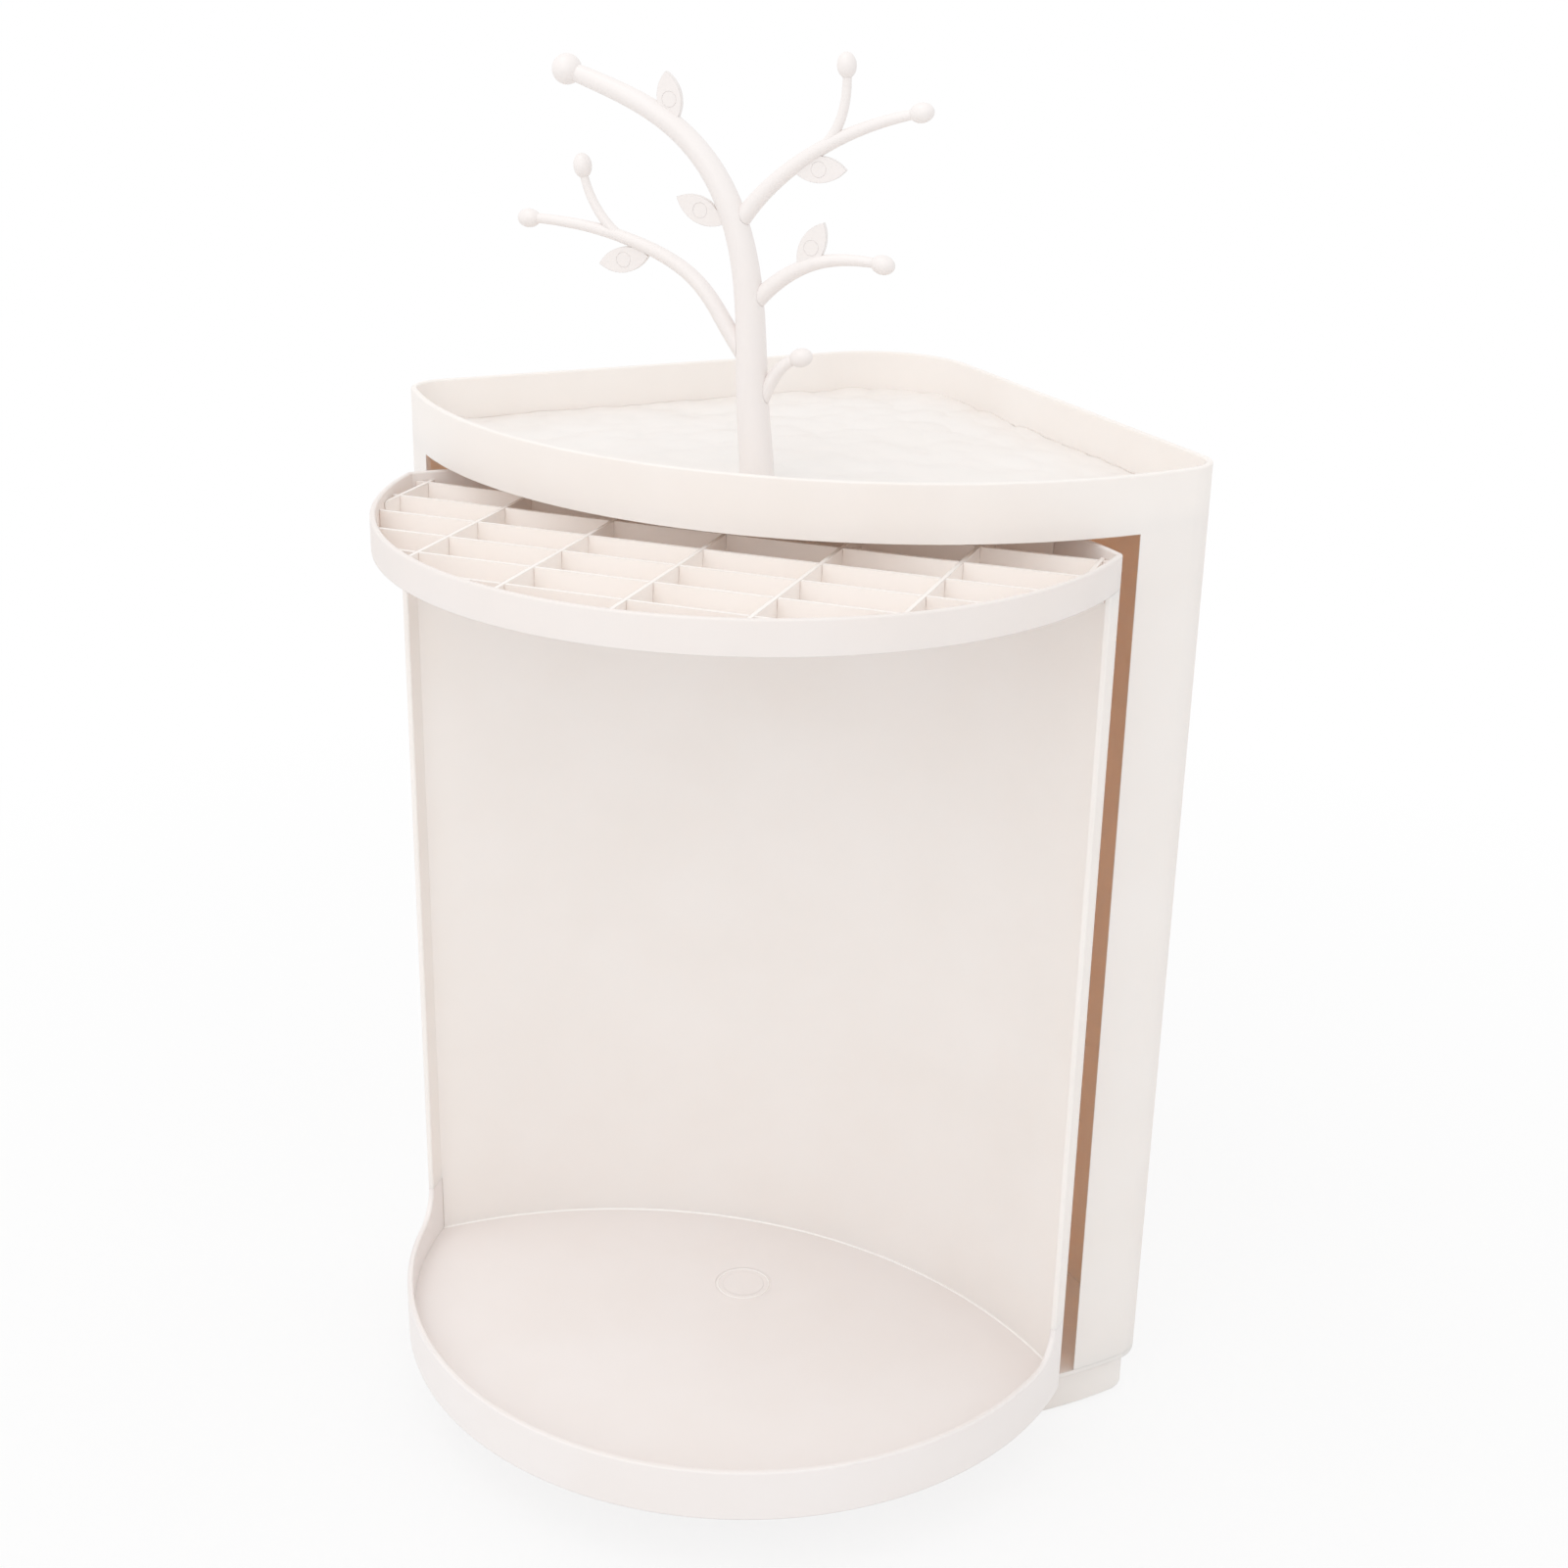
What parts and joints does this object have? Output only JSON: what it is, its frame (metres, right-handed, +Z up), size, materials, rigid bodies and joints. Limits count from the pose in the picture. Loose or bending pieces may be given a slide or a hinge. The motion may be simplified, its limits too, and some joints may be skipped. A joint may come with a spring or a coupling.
{
  "type": "rotating storage cabinet",
  "caption": "Counter-top corner cabinet: a carousel with a jewellery tray turns out of a corner shell, its curved back closing the front; a jewellery tree stands on the top tray.",
  "frame": {"origin": "middle of the plan box, at the level the pads stand on", "axes": "+Z up, front towards -Y, +X to the right when seen from the front"},
  "size_m": [0.2974, 0.3024, 0.4937],
  "materials": {
    "ivory_plastic": "satin moulded, warm ivory",
    "steel": "plain bright",
    "cage_plastic": "natural",
    "pad_rubber": "matt"
  },
  "bodies": {
    "cabinet": {"corner_shell": "ivory_plastic", "base_pan": "ivory_plastic", "base_screws": "steel", "foot_pads": "pad_rubber", "lower_race": "steel", "tree_trunk": "ivory_plastic", "branch_left": "ivory_plastic", "branch_upper_right": "ivory_plastic", "branch_lower_right": "ivory_plastic", "branch_twig": "ivory_plastic"},
    "ball_ring": {"ball_cage": "cage_plastic", "bearing_balls": "steel"},
    "carousel": {"upper_race": "steel", "turntable_base": "ivory_plastic", "pivot_washer": "steel", "pivot_screw": "steel", "back_panel": "ivory_plastic", "jewellery_tray": "ivory_plastic", "divider_row_1": "ivory_plastic", "divider_row_2": "ivory_plastic", "divider_row_3": "ivory_plastic", "divider_row_4": "ivory_plastic", "divider_row_5": "ivory_plastic", "divider_row_6": "ivory_plastic", "divider_row_7": "ivory_plastic", "divider_row_8": "ivory_plastic", "divider_column_1": "ivory_plastic", "divider_column_2": "ivory_plastic", "divider_column_3": "ivory_plastic", "divider_column_4": "ivory_plastic", "divider_column_5": "ivory_plastic", "divider_column_6": "ivory_plastic", "divider_column_7": "ivory_plastic"}
  },
  "joints": [
    {"name": "carousel_turn", "type": "hinge", "parent": "cabinet", "child": "carousel", "pos_m": [0, -0.02118, 0.02375], "axis": [0, 0, 1], "continuous": true},
    {"name": "ball_ring_turn", "type": "hinge", "parent": "cabinet", "child": "ball_ring", "pos_m": [0, -0.02118, 0.02375], "axis": [0, 0, 1], "continuous": true}
  ],
  "couplings": [
    {"joint": "ball_ring_turn", "follows": "carousel_turn", "ratio": 0.5}
  ]
}
